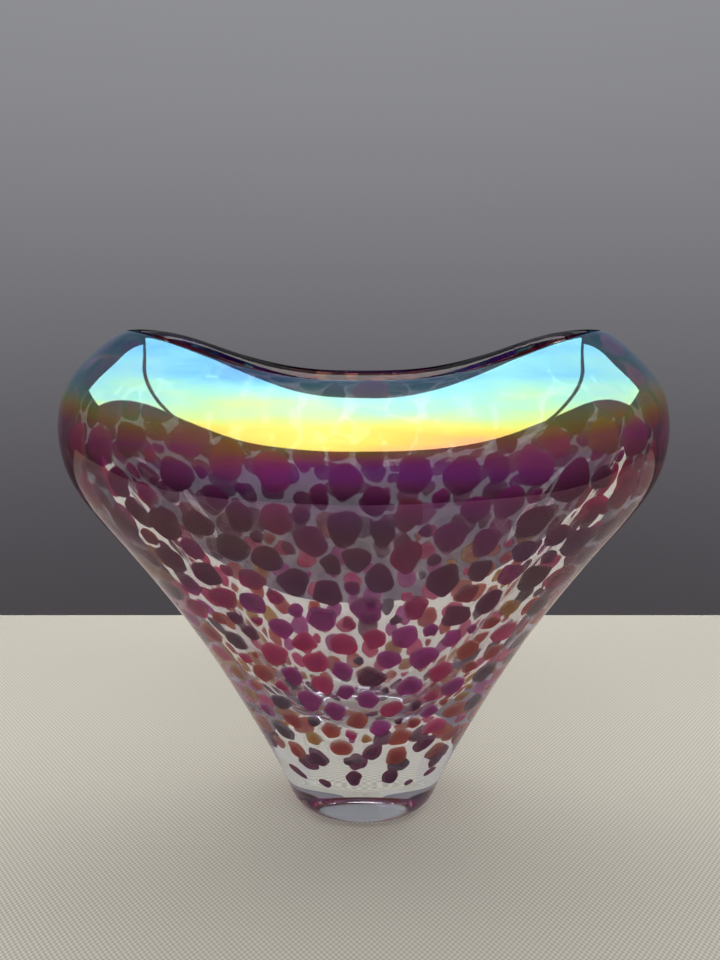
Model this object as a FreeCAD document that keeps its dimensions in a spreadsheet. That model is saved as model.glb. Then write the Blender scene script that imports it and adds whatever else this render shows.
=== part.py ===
import FreeCAD, Part
import math
import os
import random
import Sketcher

# A hand blown heart-shaped vase, in millimetres.  It is made in layers, from the inside out:
#   inner_liner   the first gather of clear glass, with the chamber blown into it
#   pale_veil     a thin milky layer of powder that the liner is rolled in
#   *_frit        coloured chips, one node per colour, pressed into pockets of the veil
#   outer_casing  the last and thickest gather of clear glass, with the solid base
#   punty_seal    the dab of glass that the punty iron leaves under the foot, ground flat
# Origin: centre of the underside.  +X runs across the two lobes, +Y to the back, +Z up.

doc = FreeCAD.newDocument("heart_vase")
sheet = doc.addObject("Spreadsheet::Sheet", "Sizes")
sheet.Label = "Sizes"

# ---- driving dimensions ------------------------------------------------------------------
# Each station is one level of the wall: half-width and half-depth of its oval, how full the
# oval's corners are, and its height at the middle of the face and at the end of the lobe.
FIELDS = ("width", "depth", "fullness", "face_height", "lobe_height")
OUTSIDE = {
    "sole":     (17.5, 14.5, 0.10,   0.0,   0.0),
    "heel":     (21.5, 17.5, 0.10,   3.0,   3.0),
    "ankle":    (24.5, 19.5, 0.10,  10.0,  10.0),
    "calf":     (36.5, 23.5, 0.12,  37.0,  35.5),
    "waist":    (51.5, 30.5, 0.15,  68.0,  63.0),
    "ribs":     (68.5, 35.5, 0.20,  95.0,  87.0),
    "chest":    (80.5, 35.5, 0.25, 109.5, 106.0),
    "shoulder": (80.0, 29.0, 0.30, 119.0, 125.0),
    "neck":     (71.0, 19.5, 0.45, 126.0, 136.0),
    "collar":   (63.5, 13.0, 0.60, 129.3, 141.0),
    "lip":      (58.5,  9.5, 0.70, 129.8, 142.0),
}
CHAMBER = {
    "sole":     ( 3.0,  2.0, 0.00,  31.0,  31.0),
    "heel":     (10.0,  6.0, 0.00,  32.0,  32.5),
    "ankle":    (18.0, 10.5, 0.05,  35.5,  36.5),
    "calf":     (29.0, 17.0, 0.10,  49.0,  48.5),
    "waist":    (44.0, 24.5, 0.15,  74.0,  70.5),
    "ribs":     (59.5, 28.5, 0.20,  96.0,  91.0),
    "chest":    (69.5, 28.0, 0.25, 107.0, 107.0),
    "shoulder": (70.0, 22.5, 0.30, 113.5, 120.5),
    "neck":     (62.5, 13.5, 0.45, 119.5, 129.5),
    "collar":   (55.5,  7.0, 0.70, 126.4, 138.2),
    "lip":      (58.5,  9.5, 0.70, 129.8, 142.0),
}
SETTINGS = {
    "lobe_sweep": 1.45,       # how late the lip climbs from the middle towards the lobes
    "veil_outside": 0.40,     # share of the wall, from the outside, where the veil starts
    "veil_inside": 0.68,      # share of the wall where the veil ends
    "veil_outside_base": 0.20,  # the same two shares under the chamber, where the glass is thick
    "veil_inside_base": 0.50,
    "base_end": 0.30,         # how far up the wall the thick base reaches
    "foot_radius": 1.45,      # mean radius of a chip at the height of the sole
    "radius_growth": 0.0085,  # how much that grows with each millimetre of height
    "largest_chip": 1.45,     # the largest and the smallest chip, against the mean
    "smallest_chip": 0.50,
    "chip_stretch": 1.15,     # length of a chip up the wall against its width
    "chip_gap": 0.5,          # least veil between two chips, and between those of the foot
    "foot_gap": 4.0,
    "first_chip": 0.03,       # the chips are sown between these shares of the way up the wall
    "last_chip": 0.90,
    "chip_thickness": 1.0,
    "pocket_reach": 6.0,      # how far a chip's pocket runs out, past the veil's outer face
    "chip_margin": 0.12,      # glass between a chip and the faces of the veil
    "punty_radius": 10.5,
    "punty_socket": 1.6,      # depth of the socket in the foot that the seal fills
    "punty_recess": 0.4,      # how far the ground face lies above the table
    "punty_bevel": 0.5,
}


def enter(sheet_row, named_values):
    """Puts named values into one row of the sheet, each in a cell with an alias."""
    for column, (name, value) in zip("ABCDE", named_values):
        sheet.set(f"{column}{sheet_row}", str(value))
        sheet.setAlias(f"{column}{sheet_row}", name)


sheet_rows = [[(f"{skin}_{station}_{field}", value) for field, value in zip(FIELDS, values)]
              for skin, stations in (("outside", OUTSIDE), ("chamber", CHAMBER))
              for station, values in stations.items()]
sheet_rows += [[setting] for setting in SETTINGS.items()]
for number, named_values in enumerate(sheet_rows, start=1):
    enter(number, named_values)
doc.recompute()


def size(name):
    return float(getattr(sheet, name))


# ---- the shape of the wall ---------------------------------------------------------------
def natural_spline(knots, values):
    """The natural cubic through the values, as a function of the knot variable."""
    last = len(knots) - 1
    gap = [knots[i + 1] - knots[i] for i in range(last)]
    upper = [0.0] * (last + 1)
    target = [0.0] * (last + 1)
    for i in range(1, last):
        turn = (values[i + 1] - values[i]) / gap[i] - (values[i] - values[i - 1]) / gap[i - 1]
        pivot = 2 * (gap[i - 1] + gap[i]) - gap[i - 1] * upper[i - 1]
        upper[i] = gap[i] / pivot
        target[i] = (6 * turn - gap[i - 1] * target[i - 1]) / pivot
    bend = [0.0] * (last + 1)
    for i in range(last - 1, 0, -1):
        bend[i] = target[i] - upper[i] * bend[i + 1]

    def curve(place):
        i = max(j for j in range(last) if j == 0 or knots[j] <= place)
        after = (place - knots[i]) / gap[i]
        before = 1 - after
        sway = (before ** 3 - before) * bend[i] + (after ** 3 - after) * bend[i + 1]
        return before * values[i] + after * values[i + 1] + gap[i] ** 2 / 6 * sway
    return curve


def station_rows(skin, stations):
    return [[size(f"{skin}_{station}_{field}") for field in FIELDS] for station in stations]


def station_knots(rows):
    """Places the stations from 0 to 1 by the square root of the distance between them."""
    knots = [0.0]
    for low, high in zip(rows, rows[1:]):
        reach = math.sqrt(sum((high[i] - low[i]) ** 2 for i in (0, 1, 3, 4)))
        knots.append(knots[-1] + math.sqrt(reach))
    return [knot / knots[-1] for knot in knots]


outside_rows = station_rows("outside", OUTSIDE)
chamber_rows = station_rows("chamber", CHAMBER)
KNOTS = station_knots(outside_rows)
outside_curves = [natural_spline(KNOTS, column) for column in zip(*outside_rows)]
chamber_curves = [natural_spline(KNOTS, column) for column in zip(*chamber_rows)]
LOBE_SWEEP = size("lobe_sweep")


def wall_point(up, angle, depth):
    """A point in the wall: up is 0 at the sole and 1 at the lip, depth 0 outside, 1 inside."""
    outer = [curve(up) for curve in outside_curves]
    inner = [curve(up) for curve in chamber_curves]
    width, deep, fullness, face, lobe = (a + depth * (b - a) for a, b in zip(outer, inner))
    across = math.cos(angle)
    climb = abs(across) ** LOBE_SWEEP
    rise = climb * climb * (3 - 2 * climb)
    return FreeCAD.Vector(width * across,
                          deep * math.sin(angle) * (1 + fullness * across * across),
                          face + (lobe - face) * rise)


def outside_depth(up):
    return 0.0


def chamber_depth(up):
    return 1.0


def in_base(up):
    """1 at the sole, falling to 0 where the thick base ends."""
    return max(0.0, 1.0 - up / size("base_end")) ** 2


def veil_outer_depth(up):
    change = size("veil_outside_base") - size("veil_outside")
    return size("veil_outside") + change * in_base(up)


def veil_inner_depth(up):
    change = size("veil_inside_base") - size("veil_inside")
    return size("veil_inside") + change * in_base(up)


# ---- layers ------------------------------------------------------------------------------
RING_POINTS = 36
RINGS = 30


def ring(up, depth):
    """One closed level line of the wall, as a smooth wire."""
    line = Part.BSplineCurve()
    points = [wall_point(up, math.tau * i / RING_POINTS, depth) for i in range(RING_POINTS)]
    turns = [float(i) for i in range(RING_POINTS + 1)]
    line.interpolate(Points=points, PeriodicFlag=True, Parameters=turns)
    return Part.Wire(line.toShape())


def skin_faces(depth_at):
    """The smooth face from the bottom ring up to the lip, and the flat cap under it."""
    levels = [i / RINGS for i in range(RINGS + 1)]
    wires = [ring(level, depth_at(level)) for level in levels]
    wall = Part.makeLoft(wires, False, False)
    return wall.Faces + [Part.Face(wires[0])]


def layer(outer_faces, inner_faces):
    """The solid between two skins, which meet at the lip."""
    shell = Part.Shell(outer_faces + inner_faces)
    shell.sewShape()
    solid = Part.Solid(Part.Shell(shell.Faces))
    if solid.Volume < 0:
        solid.reverse()
    return solid


def piece(label, shape):
    made = doc.addObject("Part::Feature", label)
    made.Label = label
    made.Shape = shape
    return made


veil_outer_skin = skin_faces(veil_outer_depth)
veil_inner_skin = skin_faces(veil_inner_depth)
piece("casing_blank", layer(skin_faces(outside_depth), veil_outer_skin))
piece("veil_blank", layer(veil_outer_skin, veil_inner_skin))
piece("inner_liner", layer(veil_inner_skin, skin_faces(chamber_depth)))


# ---- coloured chips ----------------------------------------------------------------------
COLOURS = ("plum", "amethyst", "ruby", "russet", "amber", "smoke")
RECIPES = {                  # share of each colour that the maker rolled on, zone by zone
    "foot":  (0.70, 0.10, 0.05, 0.00, 0.00, 0.15),
    "heart": (0.10, 0.36, 0.48, 0.04, 0.00, 0.02),
    "flank": (0.06, 0.05, 0.17, 0.40, 0.20, 0.12),
    "crest": (0.44, 0.24, 0.22, 0.06, 0.01, 0.03),
}
FOOT_TOP = 24.0              # the foot zone ends at this height
KEEL_TOP = 38.0              # up to here the flanks' colours run right round
CREST_START = 75.0           # the crest zone starts at this height
FLANK_START = 0.62           # share of the way from the middle to the end of a lobe
HEIGHT_BLUR = 7.0            # how unevenly one zone gives way to the next
SIDE_BLUR = 0.12
THROWS = 9000                # how many chips are thrown; those that would overlap don't stick
SEED = 17
NUDGE = 1e-3
TRIM = 0.93                  # a chip too long for the curve of the veil is trimmed in steps


def chip_depth(up):
    return (veil_outer_depth(up) + veil_inner_depth(up)) / 2


def zone(height, across):
    if height < FOOT_TOP:
        return "foot"
    if height > CREST_START:
        return "crest"
    return "flank" if across > FLANK_START or height < KEEL_TOP else "heart"


def sow(draw):
    """The largest chips land first, and smaller ones in the gaps that they leave."""
    largest, smallest = size("largest_chip"), size("smallest_chip")
    sown = []
    for throw in range(THROWS):
        up = draw.uniform(size("first_chip"), size("last_chip"))
        angle = draw.uniform(0.0, math.tau)
        place = wall_point(up, angle, chip_depth(up))
        share = largest + (smallest - largest) * throw / THROWS
        radius = share * (size("foot_radius") + size("radius_growth") * place.z)
        reach = radius * size("chip_stretch")
        gap = size("foot_gap") if place.z < FOOT_TOP else size("chip_gap")
        if all(place.distanceToPoint(other["place"]) > other["reach"] + reach + gap
               for other in sown):
            sown.append({"up": up, "angle": angle, "place": place,
                         "radius": radius, "reach": reach})
    return sown


def chip_outline(up, angle, length, width):
    """The flat inner face of a chip, laid along the slope of the veil, and its way out."""
    depth = chip_depth(up)
    centre = wall_point(up, angle, depth)
    rise = wall_point(up + NUDGE, angle, depth) - wall_point(up - NUDGE, angle, depth)
    turn = wall_point(up, angle + NUDGE, depth) - wall_point(up, angle - NUDGE, depth)
    outward = turn.cross(rise).normalize()
    half = size("chip_thickness") / 2
    room = (wall_point(up, angle, veil_outer_depth(up))
            - wall_point(up, angle, veil_inner_depth(up))).dot(outward) / 2
    room -= half + size("chip_margin")

    def sag(up_share, turn_share):
        ends = [wall_point(up + way * up_share, angle + way * turn_share, depth)
                for way in (-1, 1)]
        return max(abs((end - centre).dot(outward)) for end in ends)

    up_rate = rise.Length / (2 * NUDGE)
    turn_rate = turn.Length / (2 * NUDGE)
    while sag(length / up_rate, 0.0) > room:
        length *= TRIM
    while sag(0.0, width / turn_rate) > room:
        width *= TRIM
    rise.normalize()
    across = outward.cross(rise)
    base = centre - outward * half
    tips = sorted((rise * length, across * width), key=lambda tip: -tip.Length)
    outline = Part.Ellipse(base + tips[0], base + tips[1], base)
    return Part.Face(Part.Wire(outline.toShape())), outward


draw = random.Random(SEED)
chips = {colour: [] for colour in COLOURS}
pockets = []
for chip in sow(draw):
    height = chip["place"].z + draw.uniform(-HEIGHT_BLUR, HEIGHT_BLUR)
    across = abs(math.cos(chip["angle"])) + draw.uniform(-SIDE_BLUR, SIDE_BLUR)
    colour = draw.choices(COLOURS, RECIPES[zone(height, across)])[0]
    outline, outward = chip_outline(chip["up"], chip["angle"], chip["reach"], chip["radius"])
    chips[colour].append(outline.extrude(outward * size("chip_thickness")))
    pockets.append(outline.extrude(outward * size("pocket_reach")))
for colour in COLOURS:
    piece(f"{colour}_frit", Part.Compound(chips[colour]))
piece("chip_pockets", Part.Compound(pockets))


# ---- pieces cut from the blanks ----------------------------------------------------------
def cut(label, base, tool):
    made = doc.addObject("Part::Cut", label)
    made.Label = label
    made.Base = doc.getObject(base)
    made.Tool = doc.getObject(tool)
    return made


cut("pale_veil", "veil_blank", "chip_pockets")

socket = doc.addObject("Part::Cylinder", "punty_socket")
socket.setExpression("Radius", "Sizes.punty_radius")
socket.setExpression("Height", "Sizes.punty_socket")
cut("outer_casing", "casing_blank", "punty_socket")

# The seal is a bevelled disc that fills the socket down to its ground face.
seal = doc.addObject("PartDesign::Body", "punty_seal")
seal.Label = "punty_seal"
seal.setExpression("Placement.Base.z", "Sizes.punty_recess")
floor_plane = next(plane for plane in seal.Origin.OriginFeatures if plane.Role == "XY_Plane")
seal_outline = seal.newObject("Sketcher::SketchObject", "seal_outline")
seal_outline.AttachmentSupport = [(floor_plane, "")]
seal_outline.MapMode = "FlatFace"
seal_outline.addGeometry(Part.Circle(FreeCAD.Vector(0, 0, 0), FreeCAD.Vector(0, 0, 1), 1.0))
seal_outline.addConstraint(Sketcher.Constraint("Coincident", 0, 3, -1, 1))
seal_outline.addConstraint(Sketcher.Constraint("Radius", 0, 1.0))
seal_outline.setExpression("Constraints[1]", "Sizes.punty_radius")
seal_disc = seal.newObject("PartDesign::Pad", "seal_disc")
seal_disc.Profile = seal_outline
seal_disc.setExpression("Length", "Sizes.punty_socket - Sizes.punty_recess")
doc.recompute()
ground_edge = next(f"Edge{i}" for i, edge in enumerate(seal_disc.Shape.Edges, start=1)
                   if edge.Closed and edge.BoundBox.ZMax < seal_disc.Shape.BoundBox.Center.z)
seal_bevel = seal.newObject("PartDesign::Chamfer", "seal_bevel")
seal_bevel.Base = (seal_disc, [ground_edge])
seal_bevel.setExpression("Size", "Sizes.punty_bevel")
doc.recompute()

# ---- checks and files --------------------------------------------------------------------
for item in doc.Objects:
    if "Invalid" in item.State or "Error" in item.State:
        raise RuntimeError(f"{item.Label} failed: {item.State}")

NODES = ["outer_casing", "inner_liner", "pale_veil", "punty_seal"]
NODES += [f"{colour}_frit" for colour in COLOURS]
os.makedirs("parts", exist_ok=True)
for node in NODES:
    shape = doc.getObject(node).Shape
    if shape.isNull() or not shape.isValid() or shape.Volume <= 0:
        raise RuntimeError(f"{node} has no valid solid")
    shape.exportStep(f"parts/{node}.step")
    print(f"{node}: {len(shape.Solids)} solids, {shape.Volume / 1000:.2f} cm3")
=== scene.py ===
import math
import random
import bpy
import numpy as np
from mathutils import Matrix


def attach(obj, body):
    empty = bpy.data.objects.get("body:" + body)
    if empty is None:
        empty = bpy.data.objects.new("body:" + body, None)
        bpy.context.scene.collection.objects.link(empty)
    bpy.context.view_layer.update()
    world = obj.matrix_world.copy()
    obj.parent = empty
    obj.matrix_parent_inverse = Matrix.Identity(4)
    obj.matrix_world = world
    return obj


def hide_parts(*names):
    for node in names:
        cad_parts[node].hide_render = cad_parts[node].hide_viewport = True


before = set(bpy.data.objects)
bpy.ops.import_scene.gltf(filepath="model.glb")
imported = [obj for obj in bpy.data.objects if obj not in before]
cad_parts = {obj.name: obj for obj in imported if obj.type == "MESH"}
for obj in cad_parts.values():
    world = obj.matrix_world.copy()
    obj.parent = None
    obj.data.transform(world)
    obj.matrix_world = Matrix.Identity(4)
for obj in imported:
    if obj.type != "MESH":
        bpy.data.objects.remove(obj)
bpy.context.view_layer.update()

MM = 0.001

# ---- camera --------------------------------------------------------------------------------
# A hand-held view from just above the lip, close in front of the vase, looking down a little.
CAMERA_PLACE = (-0.001, -0.194, 0.151)
CAMERA_DIP = math.radians(14.6)
LENS = 27.0                  # in millimetres, for a film whose longer side is FILM_SIDE
FILM_SIDE = 36.0
NEAREST_SEEN = 0.01


def add_to_scene(name, data):
    """An object that holds this mesh, lamp or camera, linked into the scene."""
    item = bpy.data.objects.new(name, data)
    bpy.context.scene.collection.objects.link(item)
    return item


camera = add_to_scene("camera", bpy.data.cameras.new("camera"))
camera.data.lens = LENS
camera.data.sensor_width = FILM_SIDE
camera.data.clip_start = NEAREST_SEEN
camera.location = CAMERA_PLACE
camera.rotation_euler = (math.pi / 2 - CAMERA_DIP, 0.0, 0.0)
bpy.context.scene.camera = camera

# ---- inner liner ---------------------------------------------------------------------------
# The first gather of clear glass, blown out to make the chamber and pinched in at the mouth.
# It carries the shape of the whole wall: level ovals that swell towards two lobes, with
# half-width, half-depth, fullness, and height at the middle of the face and at the lobe's end.
OUTSIDE = np.array([
    (17.5, 14.5, 0.10, 0.0, 0.0),        # sole
    (21.5, 17.5, 0.10, 3.0, 3.0),        # heel
    (24.5, 19.5, 0.10, 10.0, 10.0),      # ankle
    (36.5, 23.5, 0.12, 37.0, 35.5),      # calf
    (51.5, 30.5, 0.15, 68.0, 63.0),      # waist
    (68.5, 35.5, 0.20, 95.0, 87.0),      # ribs
    (80.5, 35.5, 0.25, 109.5, 106.0),    # chest
    (80.0, 29.0, 0.30, 119.0, 125.0),    # shoulder
    (71.0, 19.5, 0.45, 126.0, 136.0),    # neck
    (63.5, 13.0, 0.60, 129.3, 141.0),    # collar
    (58.5, 9.5, 0.70, 129.8, 142.0),     # lip
])
CHAMBER = np.array([
    (3.0, 2.0, 0.00, 31.0, 31.0),
    (10.0, 6.0, 0.00, 32.0, 32.5),
    (18.0, 10.5, 0.05, 35.5, 36.5),
    (29.0, 17.0, 0.10, 49.0, 48.5),
    (44.0, 24.5, 0.15, 74.0, 70.5),
    (59.5, 28.5, 0.20, 96.0, 91.0),
    (69.5, 28.0, 0.25, 107.0, 107.0),
    (70.0, 22.5, 0.30, 113.5, 120.5),
    (62.5, 13.5, 0.45, 119.5, 129.5),
    (55.5, 7.0, 0.70, 126.4, 138.2),
    (58.5, 9.5, 0.70, 129.8, 142.0),
])
LOBE_SWEEP = 1.45            # how late the lip climbs from the middle towards the lobes
VEIL_OUTER = 0.40            # share of the wall, from the outside, where the veil starts
VEIL_INNER = 0.68            # and where it ends
VEIL_OUTER_BASE = 0.20       # the same two shares under the chamber, where the glass is thick
VEIL_INNER_BASE = 0.50
BASE_END = 0.30              # share of the way up where the thick base ends
TURN = 2 * math.pi


def bends(knots, rows):
    """Second derivatives of the natural cubic through each column of the stations."""
    gap = np.diff(knots)
    system = np.eye(len(knots))
    target = np.zeros(rows.shape)
    for i in range(1, len(knots) - 1):
        system[i, i - 1:i + 2] = gap[i - 1], 2 * (gap[i - 1] + gap[i]), gap[i]
        target[i] = 6 * ((rows[i + 1] - rows[i]) / gap[i] - (rows[i] - rows[i - 1]) / gap[i - 1])
    return np.linalg.solve(system, target)


steps = np.sqrt(np.linalg.norm(np.diff(OUTSIDE[:, [0, 1, 3, 4]], axis=0), axis=1))
KNOTS = np.concatenate([[0.0], np.cumsum(steps)]) / steps.sum()
OUTSIDE_BENDS = bends(KNOTS, OUTSIDE)
CHAMBER_BENDS = bends(KNOTS, CHAMBER)


def stations_at(up, rows, row_bends):
    """The five measures of the wall, on the curve through its stations."""
    i = np.clip(np.searchsorted(KNOTS, up, side="right") - 1, 0, len(KNOTS) - 2)
    gap = (KNOTS[i + 1] - KNOTS[i])[..., None]
    after = (up - KNOTS[i])[..., None] / gap
    before = 1 - after
    sway = (before ** 3 - before) * row_bends[i] + (after ** 3 - after) * row_bends[i + 1]
    return before * rows[i] + after * rows[i + 1] + gap ** 2 / 6 * sway


def wall(up, angle, depth):
    """Points in the wall: up is 0 at the sole and 1 at the lip, depth 0 outside, 1 inside."""
    up, angle, depth = np.broadcast_arrays(*(np.asarray(v, float) for v in (up, angle, depth)))
    outer = stations_at(up, OUTSIDE, OUTSIDE_BENDS)
    inner = stations_at(up, CHAMBER, CHAMBER_BENDS)
    width, deep, fullness, face, lobe = np.moveaxis(outer + depth[..., None] * (inner - outer), -1, 0)
    across = np.cos(angle)
    climb = np.abs(across) ** LOBE_SWEEP
    rise = climb * climb * (3 - 2 * climb)
    return MM * np.stack([width * across,
                          deep * np.sin(angle) * (1 + fullness * across ** 2),
                          face + (lobe - face) * rise], axis=-1)


def in_base(up):
    """1 at the sole, falling to 0 where the thick base ends."""
    return np.maximum(0.0, 1 - np.asarray(up) / BASE_END) ** 2


def veil_outer_depth(up):
    return VEIL_OUTER + (VEIL_OUTER_BASE - VEIL_OUTER) * in_base(up)


def veil_inner_depth(up):
    return VEIL_INNER + (VEIL_INNER_BASE - VEIL_INNER) * in_base(up)


LEVELS = 145                 # level lines from sole to lip, and points round each of them
ROUND = 320
LIP_START = 0.955            # the rounded lip begins here
LIP_RINGS = 10
SHARP_EDGE = math.radians(35)
ANGLES = np.linspace(0.0, TURN, ROUND, endpoint=False)
levels = np.linspace(0.0, LIP_START, LEVELS)


def skin(depth_at):
    """A grid of points on one skin of the wall, from its bottom ring up to the lip."""
    return wall(levels[:, None], ANGLES[None, :], np.asarray(depth_at(levels))[..., None])


def lip_curve():
    """Rings over the rounded lip, from the outside skin across to the chamber's skin."""
    start, corner, end = (wall(up, ANGLES, depth)[None] for up, depth in
                          ((LIP_START, 0.0), (1.0, 0.5), (LIP_START, 1.0)))
    t = np.linspace(0.0, 1.0, 2 * LIP_RINGS + 1)[1:-1, None, None]
    return (1 - t) ** 2 * start + 2 * t * (1 - t) * corner + t ** 2 * end


def ringed_mesh(name, strips):
    """A closed mesh through rings of points: strips is a list of (rings, finish number), and
    the first and last rings are closed by fans."""
    rings = np.concatenate([grid for grid, _ in strips])
    owners = np.concatenate([[finish] * len(grid) for grid, finish in strips])
    count = rings.shape[1]
    points = [tuple(p) for p in rings.reshape(-1, 3)]
    faces, finishes = [], []
    for row in range(len(rings) - 1):
        low, high = row * count, (row + 1) * count
        for i in range(count):
            j = (i + 1) % count
            faces.append((low + i, low + j, high + j, high + i))
        finishes += [int(owners[row])] * count
    for end in (0, len(rings) - 1):
        centre = len(points)
        points.append(tuple(rings[end].mean(axis=0)))
        for i in range(count):
            j = (i + 1) % count
            edge = (end * count + i, end * count + j) if end else (j, i)
            faces.append((*edge, centre))
        finishes += [int(owners[end])] * count
    mesh = bpy.data.meshes.new(name)
    mesh.from_pydata(points, [], faces)
    mesh.polygons.foreach_set("material_index", finishes)
    mesh.polygons.foreach_set("use_smooth", [True] * len(faces))
    mesh.set_sharp_from_angle(angle=SHARP_EDGE)
    mesh.update()
    return add_to_scene(name, mesh)


class Socket:
    """An output of a finish's nodes.  Sums of sockets and numbers add Math nodes."""

    def __init__(self, finish, output):
        self.finish = finish
        self.output = output

    def maths(self, operation, *values):
        return self.finish.node("ShaderNodeMath", {"operation": operation}, dict(enumerate(values)))

    def __add__(self, other):
        return self.maths("ADD", self, other)

    def __radd__(self, other):
        return self.maths("ADD", other, self)

    def __sub__(self, other):
        return self.maths("SUBTRACT", self, other)

    def __rsub__(self, other):
        return self.maths("SUBTRACT", other, self)

    def __mul__(self, other):
        return self.maths("MULTIPLY", self, other)

    def __rmul__(self, other):
        return self.maths("MULTIPLY", other, self)

    def __pow__(self, other):
        return self.maths("POWER", self, other)

    def sine(self):
        return self.maths("SINE", self)

    def cosine(self):
        return self.maths("COSINE", self)

    def capped(self, high):
        return self.maths("MINIMUM", self, high)

    def between(self, low, high):
        """0 below low, 1 above high, smooth in between."""
        return self.finish.node("ShaderNodeMapRange", {"interpolation_type": "SMOOTHSTEP"},
                                {"Value": self, "From Min": low, "From Max": high})


class Finish:
    """The nodes of a material, or of the room round the vase."""

    def __init__(self, owner):
        owner.use_nodes = True
        self.owner = owner
        self.nodes = owner.node_tree.nodes
        self.links = owner.node_tree.links
        self.nodes.clear()

    def node(self, kind, settings=None, inputs=None, output=0):
        made = self.nodes.new(kind)
        for name, value in (settings or {}).items():
            setattr(made, name, value)
        for name, value in (inputs or {}).items():
            if isinstance(value, Socket):
                self.links.new(value.output, made.inputs[name])
            else:
                made.inputs[name].default_value = value
        return Socket(self, made.outputs[output])

    def surface(self, shader, kind="ShaderNodeOutputMaterial"):
        out = self.nodes.new(kind)
        self.links.new(shader.output, out.inputs["Surface"])
        return self.owner

    def place(self):
        return self.node("ShaderNodeTexCoord", output="Object")

    def axis(self, place, number):
        return self.node("ShaderNodeSeparateXYZ", {}, {"Vector": place}, number)

    def attribute(self, label):
        return self.node("ShaderNodeAttribute", {"attribute_name": label}, output="Fac")

    def noise(self, scale, detail=2.0, place=None):
        return self.node("ShaderNodeTexNoise", {}, {"Vector": place or self.place(), "Scale": scale,
                                                    "Detail": detail})

    def bump(self, height, strength, distance):
        return self.node("ShaderNodeBump", {}, {"Strength": strength, "Distance": distance,
                                                "Height": height})

    def transparent(self, tint):
        return self.node("ShaderNodeBsdfTransparent", {}, {"Color": tint})

    def glass(self, colour, roughness=0.0, **more):
        return self.node("ShaderNodeBsdfPrincipled", {}, {
            "Base Color": colour, "Roughness": roughness, "IOR": GLASS_IOR, "Transmission Weight": 1.0,
            **more})

    def mix_shader(self, share, first, second):
        return self.node("ShaderNodeMixShader", {}, {0: share, 1: first, 2: second})

    def mix_colour(self, share, first, second):
        return self.node("ShaderNodeMix", {"data_type": "RGBA"},
                         {"Factor": share, 6: first, 7: second}, 2)

    def lets_light_through(self, shader, tint):
        """Lamps shine through the glass, which keeps what lies inside it bright."""
        shadow = self.node("ShaderNodeLightPath", output="Is Shadow Ray")
        return self.mix_shader(shadow, shader, self.transparent(tint))


def hidden_join():
    """Where two layers of the same glass are fused, light passes as if nothing were there."""
    finish = Finish(bpy.data.materials.new("fused_join"))
    return finish.surface(finish.transparent(WHITE))


WHITE = (1.0, 1.0, 1.0, 1.0)
CLEAR = (0.975, 0.985, 0.985, 1.0)
SHADOW_TINT = (0.93, 0.94, 0.95, 1.0)
GLASS_IOR = 1.5
RIPPLE_HEIGHT = 0.0015       # full height of a ripple in metres, before its strength
FUSED = hidden_join()


def chamber_finish():
    """Clear blown glass with the slow ripples that the blowing leaves."""
    finish = Finish(bpy.data.materials.new("chamber_glass"))
    ripples = finish.bump(finish.noise(28.0, 1.0), 0.10, RIPPLE_HEIGHT)
    glass = finish.glass(CLEAR, Normal=ripples)
    return finish.surface(finish.lets_light_through(glass, SHADOW_TINT))


lip = lip_curve()
chamber = skin(lambda up: np.ones_like(up))
veil_inside = skin(veil_inner_depth)
crest = lip[LIP_RINGS - 1:LIP_RINGS]
liner = ringed_mesh("clear_liner", [(veil_inside, 1), (crest, 0),
                                    (lip[LIP_RINGS:], 0), (chamber[::-1], 0)])
liner.data.materials.append(chamber_finish())
liner.data.materials.append(FUSED)
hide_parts("inner_liner")
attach(liner, "root")

# ---- coloured chips ------------------------------------------------------------------------
# Crushed coloured glass that the hot liner is rolled over.  Each chip melts into a flat drop,
# and where they crowd together they press each other into cells with thin gaps between them.
FIRST_CHIP = 0.03            # the chips are sown between these shares of the way up the wall
LAST_CHIP = 0.90
FOOT_RADIUS = 1.45           # mean radius of a chip at the sole, and its growth with height
RADIUS_GROWTH = 0.0085
LARGEST = 1.45               # the largest and smallest chips, against the mean
SMALLEST = 0.50
CHIP_STRETCH = 1.15          # length of a chip up the wall against its width
CHIP_GAP = 0.5               # least gap between chips as they land, higher up and in the foot
FOOT_GAP = 4.0
THROWS = 9000
COLOURS = ("plum", "amethyst", "ruby", "russet", "amber", "smoke")
RECIPES = {                  # share of each colour that the maker rolled on, zone by zone
    "foot": (0.70, 0.10, 0.05, 0.00, 0.00, 0.15),
    "heart": (0.10, 0.36, 0.48, 0.04, 0.00, 0.02),
    "flank": (0.06, 0.05, 0.17, 0.40, 0.20, 0.12),
    "crest": (0.44, 0.24, 0.22, 0.06, 0.01, 0.03),
}
FOOT_TOP = 24.0              # heights where one zone ends and the next starts, in millimetres
KEEL_TOP = 38.0
CREST_START = 75.0
FLANK_START = 0.62           # share of the half-width where the flanks start
HEIGHT_BLUR = 7.0            # how unevenly one zone gives way to the next
SIDE_BLUR = 0.12


def chip_depth(up):
    """The middle of the veil."""
    return (veil_outer_depth(up) + veil_inner_depth(up)) / 2


def zone(height, across):
    if height < FOOT_TOP:
        return "foot"
    if height > CREST_START:
        return "crest"
    return "flank" if across > FLANK_START or height < KEEL_TOP else "heart"


draw = random.Random(17)


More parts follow.
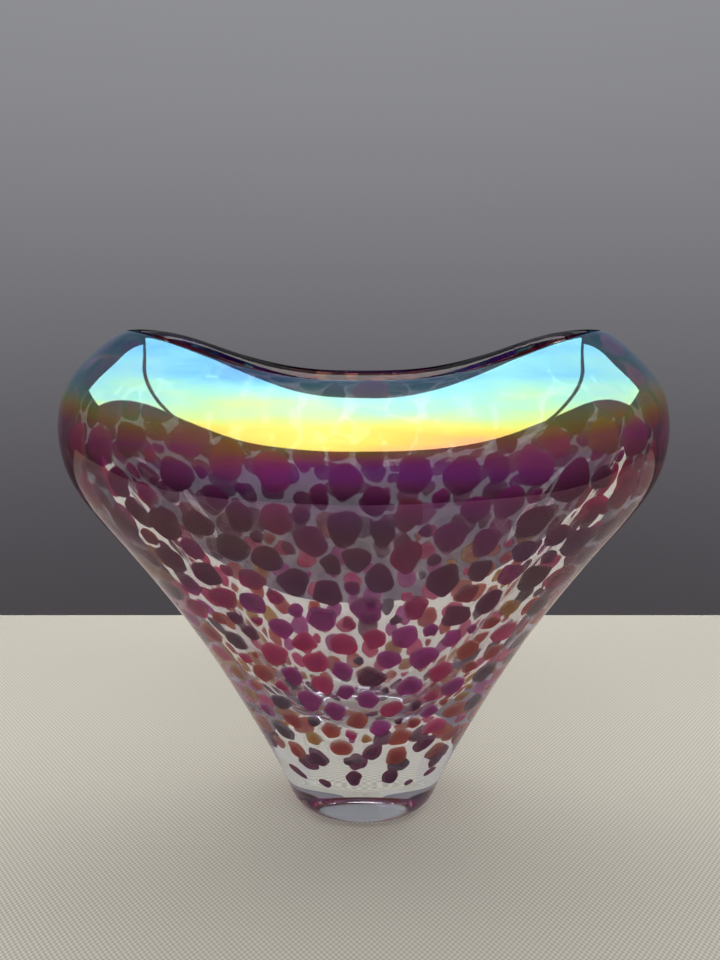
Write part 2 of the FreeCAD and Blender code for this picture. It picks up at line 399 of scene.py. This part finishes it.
def sow():
    """The largest chips land first, and smaller ones in the gaps that they leave."""
    sown = []
    places = np.zeros((THROWS, 3))
    reaches = np.zeros(THROWS)
    for throw in range(THROWS):
        up = draw.uniform(FIRST_CHIP, LAST_CHIP)
        angle = draw.uniform(0.0, TURN)
        place = wall(up, angle, chip_depth(up)) / MM
        share = LARGEST + (SMALLEST - LARGEST) * throw / THROWS
        radius = share * (FOOT_RADIUS + RADIUS_GROWTH * place[2])
        reach = radius * CHIP_STRETCH
        gap = FOOT_GAP if place[2] < FOOT_TOP else CHIP_GAP
        count = len(sown)
        if np.all(np.linalg.norm(places[:count] - place, axis=1) > reaches[:count] + reach + gap):
            places[count] = place
            reaches[count] = reach
            sown.append((up, angle, radius, place[2]))
    return sown


chips = []
for up, angle, radius, height in sow():
    height += draw.uniform(-HEIGHT_BLUR, HEIGHT_BLUR)
    across = abs(math.cos(angle)) + draw.uniform(-SIDE_BLUR, SIDE_BLUR)
    colour = draw.choices(COLOURS, RECIPES[zone(height, across)])[0]
    chips.append((up, angle, radius * CHIP_STRETCH, radius, COLOURS.index(colour)))
chips = np.array(chips)

SPOKES = 30                  # points round a chip's outline
SPREAD = 1.32                # how far a chip would flow if it had no neighbours
SPREAD_PLAY = (0.8, 1.15)    # least and most that one chip flows against the next
CREST_GAP = 0.40             # veil left between crowded chips, at the crest and lower down
BODY_GAP = 1.25
GAP_HEIGHTS = (70.0, 95.0)   # the gap narrows from the one to the other between these heights
WOBBLES = ((2, 0.10), (3, 0.07), (5, 0.04))     # waves round an outline, and their strength
NEIGHBOUR_LENGTHS = 3.2      # a chip feels others within so many of its own lengths, and a margin
NEIGHBOUR_MARGIN = 3.0
LEAST_FACING = 0.1           # a spoke that hardly faces a neighbour isn't stopped by it
SQUEEZE = 9                  # how squarely a crowded chip fills its corner
NUDGE = 1e-3                 # step for the rates of the wall's two parameters
chip_ups, chip_angles, chip_lengths, chip_widths = chips[:, :4].T
chip_colours = chips[:, 4].astype(int)


def wall_frame(up, angle, depth):
    """Point, way up the wall, way round it and way out, with the rates of both parameters."""
    point = wall(up, angle, depth)
    rise = (wall(up + NUDGE, angle, depth) - wall(up - NUDGE, angle, depth)) / (2 * NUDGE)
    turn = (wall(up, angle + NUDGE, depth) - wall(up, angle - NUDGE, depth)) / (2 * NUDGE)
    out = np.cross(turn, rise)
    out /= np.linalg.norm(out, axis=-1, keepdims=True)
    rise_rate = np.linalg.norm(rise, axis=-1, keepdims=True)
    up_way = rise / rise_rate
    turn_way = np.cross(up_way, out)
    turn_rate = np.sum(turn * turn_way, axis=-1, keepdims=True)
    return point, up_way, turn_way, out, rise_rate[..., 0], turn_rate[..., 0]


chip_points, chip_up_ways, chip_turn_ways, _, rise_rates, turn_rates = wall_frame(
    chip_ups, chip_angles, chip_depth(chip_ups))
shape_draw = np.random.default_rng(5)
spokes = np.linspace(0.0, TURN, SPOKES, endpoint=False)


def chip_outlines():
    """Radius of every chip along every spoke, in millimetres."""
    outlines = np.zeros((len(chips), SPOKES))
    flow = SPREAD * shape_draw.uniform(*SPREAD_PLAY, len(chips))
    spread = np.where(chip_points[:, 2] < FOOT_TOP * MM, 1.0, flow)
    reach = np.sqrt(chip_lengths * chip_widths)
    gaps = np.interp(chip_points[:, 2] / MM, GAP_HEIGHTS, (BODY_GAP, CREST_GAP))
    for i in range(len(chips)):
        wobble = 1 + sum(strength * np.sin(lobes * spokes + shape_draw.uniform(0, TURN))
                         for lobes, strength in WOBBLES)
        free = spread[i] * wobble / np.sqrt((np.cos(spokes) / chip_widths[i]) ** 2
                                            + (np.sin(spokes) / chip_lengths[i]) ** 2)
        tight = free ** -SQUEEZE
        offsets = (chip_points - chip_points[i]) / MM
        near = np.linalg.norm(offsets, axis=1) < NEIGHBOUR_LENGTHS * chip_lengths[i] + NEIGHBOUR_MARGIN
        near[i] = False
        for j in np.flatnonzero(near):
            x, y = offsets[j] @ chip_turn_ways[i], offsets[j] @ chip_up_ways[i]
            apart = math.hypot(x, y)
            edge = apart * reach[i] / (reach[i] + reach[j]) - gaps[i] / 2
            facing = np.cos(spokes - math.atan2(y, x))
            stop = (edge / np.maximum(facing, LEAST_FACING)) ** -SQUEEZE
            tight += np.where(facing > LEAST_FACING, stop, 0.0)
        outlines[i] = tight ** (-1 / SQUEEZE)
    return outlines


outlines = chip_outlines()
CHIP_HALF = 0.85             # half the thickness of a full-sized chip, in millimetres
CHIP_RINGS = (0.30, 0.55, 0.75, 0.90, 1.0)
THINNEST = 0.55              # thickness of a tiny chip, against a full-sized one
THICKENING = 0.075           # how much of that thickness each millimetre of radius adds
BULGE = 2.6                  # powers: how late a chip's face curves down to its edge,
THINNING = 2.2               # and how late its colour thins out towards it
# Painted shade: higher up, the chips' colour is pulled towards this dark colour so the crest looks
# darker under the overhead lamps.
PAINTED_SHADE_COLOUR = (0.085, 0.004, 0.030, 1)
PAINTED_SHADE_HEIGHTS = (0.058, 0.088)      # in metres: painted shade darkens the chips from here to there, by this much, where the crest faces the lamps overhead
PAINTED_SHADE_SHARE = 0.82           # by this much
CHIP_ROUGHNESS = 0.25
FRIT = {                     # rim colour, core colour, what the glass does to light, body
    "plum": ((0.26, 0.015, 0.09, 1), (0.085, 0.004, 0.032, 1), (0.36, 0.07, 0.17, 1), 0.60),
    "amethyst": ((0.70, 0.08, 0.48, 1), (0.30, 0.010, 0.19, 1), (0.62, 0.12, 0.44, 1), 0.55),
    "ruby": ((0.88, 0.10, 0.26, 1), (0.52, 0.010, 0.14, 1), (0.74, 0.11, 0.31, 1), 0.60),
    "russet": ((0.80, 0.26, 0.08, 1), (0.42, 0.035, 0.022, 1), (0.64, 0.22, 0.12, 1), 0.58),
    "amber": ((0.72, 0.50, 0.10, 1), (0.40, 0.14, 0.012, 1), (0.68, 0.47, 0.14, 1), 0.58),
    "smoke": ((0.16, 0.11, 0.13, 1), (0.045, 0.026, 0.036, 1), (0.32, 0.24, 0.26, 1), 0.55),
}


def frit_mesh(name, members):
    """One piece holding every chip of a colour, with how thick the glass is at each point."""
    points, faces, thick, tones = [], [], [], []
    for i in members:
        half = CHIP_HALF * min(1.0, THINNEST + THICKENING * outlines[i].mean())
        shares = [0.0, *CHIP_RINGS]
        tone = shape_draw.random()
        first = len(points)
        for side in (1, -1):
            for share in (shares if side == 1 else shares[-2::-1]):
                bulge = side * half * math.sqrt(1 - share ** BULGE)
                spread = outlines[i] * share * MM if share else np.zeros(1)
                way = spokes if share else np.zeros(1)
                up = chip_ups[i] + spread * np.sin(way) / rise_rates[i]
                angle = chip_angles[i] + spread * np.cos(way) / turn_rates[i]
                place, _, _, out, _, _ = wall_frame(up, angle, chip_depth(up))
                points += [tuple(p) for p in place + out * bulge * MM]
                thick += [1 - share ** THINNING] * len(way)
        tones += [tone] * (len(points) - first)
        ring_starts = [first + 1 + k * SPOKES for k in range(2 * len(CHIP_RINGS) - 1)]
        last = len(points) - 1
        for k in range(SPOKES):
            n = (k + 1) % SPOKES
            faces.append((first, ring_starts[0] + k, ring_starts[0] + n))
            for low, high in zip(ring_starts, ring_starts[1:]):
                faces.append((low + k, high + k, high + n, low + n))
            faces.append((ring_starts[-1] + k, last, ring_starts[-1] + n))
    mesh = bpy.data.meshes.new(name)
    mesh.from_pydata(points, [], faces)
    mesh.polygons.foreach_set("use_smooth", [True] * len(faces))
    for label, values in (("thick", thick), ("tone", tones)):
        mesh.attributes.new(label, "FLOAT", "POINT").data.foreach_set("value", values)
    mesh.update()
    return add_to_scene(name, mesh)


def frit_finish(name, rim, core, filter_tint, body):
    """Coloured glass: a thin bright rim round a thick dark core, and a little cloud in it. Higher up,
    painted shade darkens it.
    """
    finish = Finish(bpy.data.materials.new(name))
    thick = finish.attribute("thick")
    tone = finish.attribute("tone")
    swirl = finish.noise(420.0, 3.0)
    depth = (thick * 0.9 + (tone - 0.5) * 0.5 + (swirl - 0.5) * 0.7).between(0.05, 0.95)
    # painted shade: a height mask pulls the colour towards a dark one near the crest, which faces the
    # lamps
    painted_shade = finish.axis(finish.place(), 2).between(*PAINTED_SHADE_HEIGHTS) * PAINTED_SHADE_SHARE
    shade = finish.mix_colour(painted_shade, finish.mix_colour(depth, rim, core), PAINTED_SHADE_COLOUR)
    glass = finish.node("ShaderNodeBsdfPrincipled", {}, {
        "Base Color": shade, "Roughness": CHIP_ROUGHNESS, "IOR": GLASS_IOR, "Specular IOR Level": 0.0})
    cover = body * 0.5 + depth * body * 0.5
    return finish.surface(finish.mix_shader(cover, finish.transparent(filter_tint), glass))


for number, colour in enumerate(COLOURS):
    frit = frit_mesh(f"{colour}_chips", np.flatnonzero(chip_colours == number))
    frit.data.materials.append(frit_finish(f"{colour}_glass", *FRIT[colour]))
    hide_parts(f"{colour}_frit")
    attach(frit, "root")

# ---- pale veil -----------------------------------------------------------------------------
# A dusting of white powder between the liner and the casing.  It shows as a cream net in the
# gaps between the chips and as a thin bright halo round each of them.
VEIL_FRONT_LEVELS = 205
VEIL_BACK_LEVELS = 38
VEIL_ROUND = 400
HALO = 0.75                  # width of the halo round a chip, in millimetres
HALO_POWDER = 0.45           # powder in a halo, and in the net between two crowded chips
NET_POWDER = 0.8
NET_WIDTH = 2.2              # width of the net, in halos
UNDERLAP = 0.35              # how far the powder runs in under a chip, in millimetres
CHIP_REACH = 2.4             # powder is worked out within so many of a chip's longest radius
FAR = 1e3
POWDER_HEIGHTS = (16.0, 26.0, 62.0, 84.0, 108.0)    # powder lies thickest low in the body
POWDER_SHARES = (0.0, 1.0, 0.9, 0.34, 0.14)
BACK_POWDER = 0.35           # powder on the veil's inner face, against its outer one
VEIL_TOP = 0.985
CLEARANCE = 0.02             # share of the wall between the veil and the layers beside it
veil_angles = np.linspace(0.0, TURN, VEIL_ROUND, endpoint=False)


def net_at(points):
    """How much powder lies at each point: full between the chips, none over them."""
    flat = points.reshape(-1, 3)
    nearest = np.full(len(flat), FAR)
    second = np.full(len(flat), FAR)
    for i in range(len(chips)):
        offsets = (flat - chip_points[i]) / MM
        limit = CHIP_REACH * outlines[i].max()
        close = np.flatnonzero(np.einsum("ij,ij->i", offsets, offsets) < limit ** 2)
        x, y = offsets[close] @ chip_turn_ways[i], offsets[close] @ chip_up_ways[i]
        edge = np.interp(np.arctan2(y, x) % TURN, spokes, outlines[i], period=TURN)
        gap = np.hypot(x, y) - edge
        second[close] = np.minimum(second[close], np.maximum(nearest[close], gap))
        nearest[close] = np.minimum(nearest[close], gap)
    bare = np.clip(1 + nearest / UNDERLAP, 0, 1)
    halo = np.exp(-(np.maximum(nearest, 0.0) / HALO) ** 2) * bare
    net = np.exp(-(np.maximum(second, 0.0) / (NET_WIDTH * HALO)) ** 2) * bare
    fading = np.interp(flat[:, 2] / MM, POWDER_HEIGHTS, POWDER_SHARES)
    return (fading * np.maximum(HALO_POWDER * halo, NET_POWDER * net)).reshape(points.shape[:-1])


def veil_skin(depth_at, count):
    ups = np.linspace(0.0, VEIL_TOP, count)
    return wall(ups[:, None], veil_angles[None, :], depth_at(ups)[:, None])


def veil_finish():
    """Cream powder, a little clouded and grainy, that is clear glass where no powder lies."""
    finish = Finish(bpy.data.materials.new("veil_powder"))
    powder = finish.attribute("powder")
    cloud = finish.noise(60.0, 4.0)
    grain = finish.noise(900.0, 2.0)
    cover = powder * (0.25 + cloud.between(0.35, 0.75) * 0.55) * (0.75 + grain * 0.5)
    cream = finish.mix_colour(cloud, (0.80, 0.74, 0.72, 1), (0.86, 0.84, 0.80, 1))
    white = finish.node("ShaderNodeBsdfPrincipled", {}, {
        "Base Color": cream, "Roughness": 0.6, "Specular IOR Level": 0.0})
    glow = finish.node("ShaderNodeBsdfTranslucent", {}, {"Color": (0.85, 0.80, 0.80, 1)})
    both = finish.mix_shader(0.35, white, glow)
    return finish.surface(finish.mix_shader(cover * 0.85, finish.transparent(WHITE), both))


veil_front = veil_skin(lambda up: veil_outer_depth(up) + CLEARANCE, VEIL_FRONT_LEVELS)
veil_back = veil_skin(lambda up: veil_inner_depth(up) - CLEARANCE, VEIL_BACK_LEVELS)
veil = ringed_mesh("powder_veil", [(veil_front, 0), (veil_back[::-1], 0)])
fan_centres = [0.0, 0.0]
powder = np.concatenate([net_at(veil_front).ravel(), BACK_POWDER * net_at(veil_back)[::-1].ravel(),
                         fan_centres])
veil.data.attributes.new("powder", "FLOAT", "POINT").data.foreach_set("value", powder)
veil.data.materials.append(veil_finish())
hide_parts("pale_veil")
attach(veil, "root")

# ---- outer casing --------------------------------------------------------------------------
# The last gather of clear glass over everything, thick at the foot and fire polished.  Metal
# fumes leave a film on its skin whose colour runs from blue at the lip to magenta below it.
PUNTY_RADIUS = 10.5 * MM
PUNTY_SOCKET = 1.6 * MM
PUNTY_RECESS = 0.4 * MM
PUNTY_BEVEL = 0.5 * MM
CASING_TINT = (0.94, 0.985, 0.98, 1.0)
WAVES = (640.0, 540.0, 455.0)       # red, green and blue light, in nanometres
BAND_TOP = 0.131             # height in metres where the band of colour starts on the faces
LOBE_REACH = 0.080
LOBE_CLIMB = 13.0            # millimetres that the band climbs towards the lobes
BAND_DEPTH = 19.0            # millimetres over which the film thickens,
BAND_CURVE = 1.45            # slowly at first
LIP_PATH = 680.0             # path difference at the lip, in nanometres, and what is added to it
BAND_PATH = 385.0            # down the band,
LOBE_LOSS = 1.1              # less towards the lobes,
LOBE_PATH = 360.0            # below the band on the lobes,
LOBE_DEPTHS = (9.0, 25.0)
FOOT_PATH = 105.0            # at the foot,
FOOT_DEPTHS = (80.0, 115.0)
STREAK_PATH = 260.0          # and from streak to streak
FUME_DEPTHS = (15.0, 34.0)   # the fume fades between these depths, by this share
FUME_LOSS = 0.88
LOBE_FUME_LOSS = 0.35
FILM_IOR = 2.3
FILM_FLOOR = 0.16            # shine added to the film's own at every slant
FILM_ROUGHNESS = 0.04


def circle(radius, height):
    """One level ring round the middle of the foot."""
    return np.stack([radius * np.cos(ANGLES), radius * np.sin(ANGLES),
                     np.full(ROUND, height)], axis=-1)[None]


def film_colour(finish, path):
    """Roughly the colour of light that a film with this path difference reflects."""
    bands = [0.5 - 0.5 * (path * (TURN / wave)).cosine() for wave in WAVES]
    return finish.node("ShaderNodeCombineColor", {}, dict(enumerate(bands)))


def casing_finish():
    """Clear glass under the film, with the path difference in nanometres and depths below the
    top of the band in millimetres."""
    finish = Finish(bpy.data.materials.new("iridised_glass"))
    place = finish.place()
    across = (finish.axis(place, 0) * (1 / LOBE_REACH)) ** 2
    below = (BAND_TOP - finish.axis(place, 2)) * (1 / MM) + across * LOBE_CLIMB
    streaks = finish.noise(40.0, 4.0, finish.node(
        "ShaderNodeMapping", {}, {"Vector": place, "Scale": (0.5, 1.0, 3.2)}))
    down_band = (below.capped(BAND_DEPTH) * (1 / BAND_DEPTH)) ** BAND_CURVE
    path = (LIP_PATH + down_band * BAND_PATH * (1.0 - across * LOBE_LOSS)
            + below.between(*LOBE_DEPTHS) * across * LOBE_PATH
            + below.between(*FOOT_DEPTHS) * FOOT_PATH + (streaks - 0.5) * STREAK_PATH)
    fume = (1.0 - below.between(*FUME_DEPTHS) * FUME_LOSS) * (1.0 - across * LOBE_FUME_LOSS)
    tint = finish.mix_colour(0.08, film_colour(finish, path), WHITE)
    ripples = finish.bump(finish.noise(22.0, 1.5), 0.30, RIPPLE_HEIGHT)
    glass = finish.glass(CASING_TINT, Normal=ripples)
    film = finish.node("ShaderNodeBsdfPrincipled", {}, {
        "Base Color": tint, "Roughness": FILM_ROUGHNESS, "Metallic": 1.0, "Normal": ripples})
    shine = finish.node("ShaderNodeFresnel", {}, {"IOR": FILM_IOR, "Normal": ripples})
    coated = finish.mix_shader((shine + FILM_FLOOR) * fume, glass, film)
    return finish.surface(finish.lets_light_through(coated, SHADOW_TINT))


outside = skin(lambda up: np.zeros_like(up))
veil_outside = skin(veil_outer_depth)
socket_rings = np.concatenate([circle(PUNTY_RADIUS, PUNTY_SOCKET),
                               circle(PUNTY_RADIUS, PUNTY_RECESS + PUNTY_BEVEL)])
casing = ringed_mesh("iridised_casing", [(socket_rings[:1], 1), (socket_rings[1:], 0),
                                         (circle(PUNTY_RADIUS, 0.0), 0), (outside, 0),
                                         (lip[:LIP_RINGS], 1), (veil_outside[::-1], 1)])
casing.data.materials.append(casing_finish())
casing.data.materials.append(FUSED)
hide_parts("outer_casing")
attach(casing, "root")

# ---- punty seal ----------------------------------------------------------------------------
# The dab of glass that held the vase on the punty iron, ground flat and polished under the
# foot.  It is fused to the casing all round, and only its ground face shows.
def seal_finish():
    """Clear glass with the fine swirls that grinding and polishing leave."""
    finish = Finish(bpy.data.materials.new("ground_glass"))
    swirls = finish.noise(700.0, 4.0)
    haze = 0.02 + swirls.between(0.45, 0.8) * 0.10
    return finish.surface(finish.lets_light_through(finish.glass(CLEAR, haze), SHADOW_TINT))


seal_rings = np.concatenate([circle(PUNTY_RADIUS - PUNTY_BEVEL, PUNTY_RECESS),
                             circle(PUNTY_RADIUS, PUNTY_RECESS + PUNTY_BEVEL),
                             circle(PUNTY_RADIUS, PUNTY_SOCKET)])
seal = ringed_mesh("ground_seal", [(seal_rings[:1], 0), (seal_rings[1:], 1)])
seal.data.materials.append(seal_finish())
seal.data.materials.append(FUSED)
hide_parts("punty_seal")
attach(seal, "root")

# ---- table, room and lamps -----------------------------------------------------------------
# A table under a pale woven cloth that ends a little behind the vase, a plain grey room, and
# a bank of soft panels overhead.
TABLE_EDGE = 0.127
TABLE_WIDTH = 2.4
TABLE_FRONT = -0.42
TABLE_TOP = -0.0003
WEAVE_PERIOD = 0.0014        # over one thread and under the next


def cloth_finish():
    """Pale cloth with a plain weave, a little mottled and softly creased."""
    finish = Finish(bpy.data.materials.new("table_cloth"))
    place = finish.place()
    threads = [(finish.axis(place, i) * (TURN / WEAVE_PERIOD)).sine() for i in range(2)]
    weave = threads[0] * threads[1]
    mottle = finish.noise(9.0, 4.0)
    folds = finish.noise(3.2, 2.0)
    thread = finish.mix_colour(weave.between(-0.6, 0.6), (0.40, 0.385, 0.32, 1), (0.68, 0.65, 0.57, 1))
    shade = finish.mix_colour(mottle * 0.5, thread, (0.60, 0.58, 0.50, 1))
    creases = finish.bump(folds, 0.3, 0.02)
    cloth = finish.node("ShaderNodeBsdfPrincipled", {}, {
        "Base Color": shade, "Roughness": 0.9, "Normal": creases, "Specular IOR Level": 0.1})
    return finish.surface(cloth)


cloth_mesh = bpy.data.meshes.new("table_cloth")
half_width = TABLE_WIDTH / 2
cloth_mesh.from_pydata([(-half_width, TABLE_FRONT, TABLE_TOP), (half_width, TABLE_FRONT, TABLE_TOP),
                        (half_width, TABLE_EDGE, TABLE_TOP), (-half_width, TABLE_EDGE, TABLE_TOP)],
                       [], [(0, 1, 2, 3)])
cloth = add_to_scene("table_cloth", cloth_mesh)
cloth_mesh.materials.append(cloth_finish())

ROOM_LOW = (0.066, 0.060, 0.068, 1)
ROOM_HIGH = (0.285, 0.287, 0.305, 1)
walls = Finish(bpy.data.worlds.new("room"))
up_wall = walls.axis(walls.node("ShaderNodeTexCoord", output="Generated"), 2)
wall_shade = walls.mix_colour(up_wall.between(-0.45, 0.45), ROOM_LOW, ROOM_HIGH)
backdrop = walls.node("ShaderNodeBackground", {}, {"Color": wall_shade})
bpy.context.scene.world = walls.surface(backdrop, "ShaderNodeOutputWorld")

LAMP_HEIGHT = 1.05
PANELS = {                   # middle in x and y, width and depth
    "left_panel": (-1.035, -0.22, 1.20, 0.50),
    "middle_panel": (0.0, -0.095, 0.80, 0.75),
    "right_panel": (1.035, -0.22, 1.20, 0.50),
}
PANEL_GLOW = 9.4             # watts for each square metre
ROOM_LIGHT = (0.0, 0.0, 2.40, 1.24)
ROOM_GLOW = 11.5
LAMP_COLOUR = (1.0, 0.985, 0.97)


def lamp(name, x, y, width, depth, glow):
    light = bpy.data.lights.new(name, "AREA")
    light.shape = "RECTANGLE"
    light.size = width
    light.size_y = depth
    light.energy = glow * width * depth
    light.color = LAMP_COLOUR
    hung = add_to_scene(name, light)
    hung.location = (x, y, LAMP_HEIGHT)
    return hung


for name, place in PANELS.items():
    lamp(name, *place, PANEL_GLOW).visible_diffuse = False
fill = lamp("room_light", *ROOM_LIGHT, ROOM_GLOW)
fill.visible_glossy = False
fill.visible_transmission = False
fill.visible_camera = False

scene = bpy.context.scene
scene.view_settings.view_transform = "Standard"
scene.cycles.max_bounces = 24
scene.cycles.transmission_bounces = 20
scene.cycles.transparent_max_bounces = 40
scene.cycles.glossy_bounces = 6
scene.cycles.diffuse_bounces = 3
